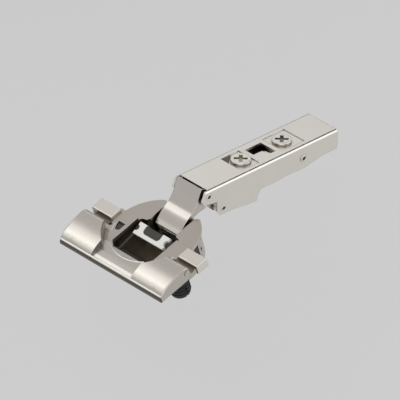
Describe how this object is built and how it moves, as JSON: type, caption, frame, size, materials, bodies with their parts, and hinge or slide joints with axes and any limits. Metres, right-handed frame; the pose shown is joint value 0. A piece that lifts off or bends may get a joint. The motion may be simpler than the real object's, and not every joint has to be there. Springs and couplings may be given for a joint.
{
  "type": "soft-close cabinet hinge",
  "caption": "Concealed cabinet hinge with a flanged cup, clamp flap and dowels, folding links, a soft-close damper, and a channel arm with adjusting screws and a clip.",
  "frame": {"origin": "on the cup axis, in the plane of the door face under the flange", "axes": "+Z out of the door along the cup axis, +X from the cup towards the arm, +Y to the side of the switch"},
  "size_m": [0.1115, 0.0576, 0.0304],
  "materials": {
    "nickel_plate": "satin",
    "pin_steel": "satin",
    "screw_steel": "polished",
    "spring_steel": "satin",
    "black_plastic": "matte",
    "grey_plastic": "matte",
    "white_plastic": "satin"
  },
  "bodies": {
    "cup": {"hinge_cup": "nickel_plate", "outer_cup_pin": "pin_steel", "inner_cup_pin": "pin_steel", "flap_pins": "pin_steel", "anchor_cap_left": "nickel_plate", "anchor_cap_right": "nickel_plate", "dowel_left": "black_plastic", "dowel_right": "black_plastic", "wall_plugs": "black_plastic", "damper_barrel": "grey_plastic"},
    "outer_link": {"outer_link": "nickel_plate"},
    "inner_link": {"inner_link": "nickel_plate"},
    "arm": {"hinge_arm": "nickel_plate", "outer_arm_pin": "pin_steel", "inner_arm_pin": "pin_steel", "tilt_studs": "pin_steel", "closing_springs": "spring_steel"},
    "damper": {"damper_lever": "grey_plastic", "damper_shoe": "white_plastic", "damper_rotor": "pin_steel"},
    "flap": {"clamp_flap": "nickel_plate"},
    "left_expander": {"expander_left": "black_plastic"},
    "right_expander": {"expander_right": "black_plastic"},
    "switch": {"soft_close_switch": "grey_plastic"},
    "side_screw": {"side_adjust_screw": "screw_steel"},
    "depth_screw": {"depth_adjust_screw": "screw_steel"},
    "carrier": {"adjust_carrier": "nickel_plate"},
    "base": {"clip_base": "nickel_plate", "latch_pin": "pin_steel", "latch_spring": "spring_steel"},
    "latch": {"clip_latch": "nickel_plate"}
  },
  "joints": [
    {"name": "outer_link_fold", "type": "hinge", "parent": "cup", "child": "outer_link", "pos_m": [0.00937, 0, -0.0065], "axis": [0, -1, 0], "range_deg": [0, 113.96]},
    {"name": "inner_link_fold", "type": "hinge", "parent": "cup", "child": "inner_link", "pos_m": [0.01171, 0, -0.003], "axis": [0, -1, 0], "range_deg": [0, 136.76]},
    {"name": "arm_fold", "type": "hinge", "parent": "outer_link", "child": "arm", "pos_m": [0.02369, 0, 0.00603], "axis": [0, -1, 0], "range_deg": [-5.76, 0]},
    {"name": "damper_press", "type": "hinge", "parent": "cup", "child": "damper", "pos_m": [-0.0104, 0, -0.0032], "axis": [0, 1, 0], "range_deg": [0, 52]},
    {"name": "flap_lift", "type": "hinge", "parent": "cup", "child": "flap", "pos_m": [-0.0082, 0, 0.00355], "axis": [0, 1, 0], "range_deg": [0, 60]},
    {"name": "left_expander_slide", "type": "slide", "parent": "cup", "child": "left_expander", "axis": [0, 0, 1], "range_m": [0, 0.0016]},
    {"name": "right_expander_slide", "type": "slide", "parent": "cup", "child": "right_expander", "axis": [0, 0, 1], "range_m": [0, 0.0016]},
    {"name": "soft_close_switch_slide", "type": "slide", "parent": "cup", "child": "switch", "axis": [1, 0, 0], "range_m": [0, 0.0008]},
    {"name": "side_screw_turn", "type": "hinge", "parent": "arm", "child": "side_screw", "pos_m": [0.04763, 0, 0.00089], "axis": [0.3123, 0, 0.95], "range_deg": [-450, 450]},
    {"name": "side_tilt", "type": "hinge", "parent": "arm", "child": "carrier", "pos_m": [0.06984, 0, -0.01209], "axis": [0, -1, 0], "range_deg": [-2.28, 2.28]},
    {"name": "depth_screw_turn", "type": "hinge", "parent": "arm", "child": "depth_screw", "pos_m": [0.0681, 0, -0.00584], "axis": [0.3123, 0, 0.95], "range_deg": [-180.01, 120.01]},
    {"name": "depth_slide", "type": "slide", "parent": "carrier", "child": "base", "axis": [0.95, 0, -0.3123], "range_m": [-0.003, 0.002]},
    {"name": "latch_release", "type": "hinge", "parent": "base", "child": "latch", "pos_m": [0.08067, 0, -0.01755], "axis": [0, -1, 0], "range_deg": [0, 14], "stiffness_Nm_per_rad": 0.002, "springref_deg": -20.05}
  ],
  "couplings": [
    {"joint": "inner_link_fold", "follows": "outer_link_fold", "ratio": 1.2001},
    {"joint": "arm_fold", "follows": "outer_link_fold", "ratio": -0.050524},
    {"joint": "damper_press", "follows": "outer_link_fold", "ratio": 0.45631},
    {"joint": "left_expander_slide", "follows": "flap_lift", "m_per_rad": 0.0015279},
    {"joint": "right_expander_slide", "follows": "flap_lift", "m_per_rad": 0.0015279},
    {"joint": "side_tilt", "follows": "side_screw_turn", "ratio": 0.0050667},
    {"joint": "depth_screw_turn", "follows": "depth_slide", "rad_per_m": 1047.2}
  ]
}
